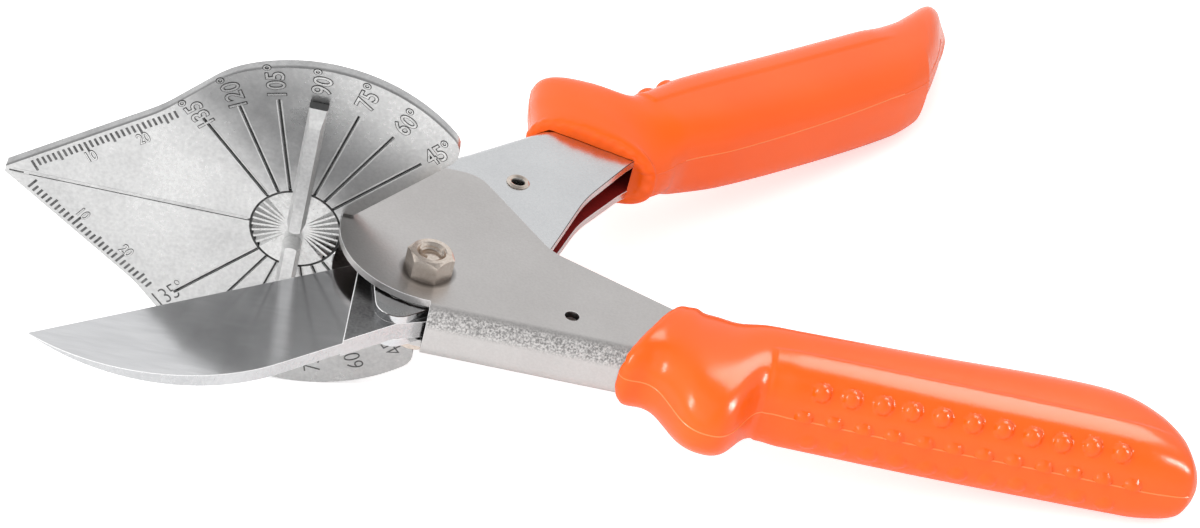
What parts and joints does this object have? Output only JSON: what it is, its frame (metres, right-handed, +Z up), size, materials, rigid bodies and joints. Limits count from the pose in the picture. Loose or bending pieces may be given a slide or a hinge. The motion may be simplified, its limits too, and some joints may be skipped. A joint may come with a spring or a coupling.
{
  "type": "mitre shears",
  "caption": "Hand-held mitre shears with a pivoting blade, a pointed anvil plate scribed with angles, a swivelling fence and two moulded orange grips.",
  "frame": {"origin": "middle of the footprint on the table that the shears lie on, open as in the picture", "axes": "+X from the plate's tip towards the front handle, along the plate's centre line as seen from above; +Y from the front handle towards the rear handle; +Z up from the table"},
  "size_m": [0.2002, 0.1614, 0.0636],
  "materials": {
    "plate_cast": "satin cast zinc alloy, bright",
    "fence_cast": "satin cast zinc alloy, bright",
    "front_nickel": "grainy nickel plate, warm grey",
    "rear_nickel": "smooth bright nickel plate",
    "blade_steel": "ground and polished steel",
    "fixings": "nickel plated steel",
    "bush_steel": "turned steel, greased",
    "spring_steel": "oiled spring wire",
    "grip_plastic": "glossy moulded orange plastic"
  },
  "bodies": {
    "front_handle": {"anvil_plate": "plate_cast", "front_channel": "front_nickel", "front_grip": "grip_plastic", "anvil_rivets": "fixings", "pivot_bolt": "fixings", "pivot_nut": "fixings", "pivot_washer": "fixings", "pivot_bush": "bush_steel", "pivot_shims": "bush_steel"},
    "fence_swivel": {"fence": "fence_cast", "fence_washer": "fixings", "fence_spring_washer": "spring_steel", "fence_screw": "fixings"},
    "rear_handle": {"rear_channel": "rear_nickel", "rear_grip": "grip_plastic", "blade": "blade_steel", "blade_rivets": "fixings", "spring_rivet": "fixings", "return_spring": "spring_steel"}
  },
  "joints": [
    {"name": "handle_pivot", "type": "hinge", "parent": "front_handle", "child": "rear_handle", "pos_m": [-0.02981, -0.04516, 0.02878], "axis": [-0.1725, -0.0533, -0.9836], "range_deg": [0, 36], "stiffness_Nm_per_rad": 0.4, "springref_deg": -28.65, "deforming": ["return_spring"]},
    {"name": "fence_turn", "type": "hinge", "parent": "front_handle", "child": "fence_swivel", "pos_m": [-0.05216, -0.03488, 0.03214], "axis": [0.0092, -0.9986, 0.0525], "range_deg": [-45, 45]}
  ]
}
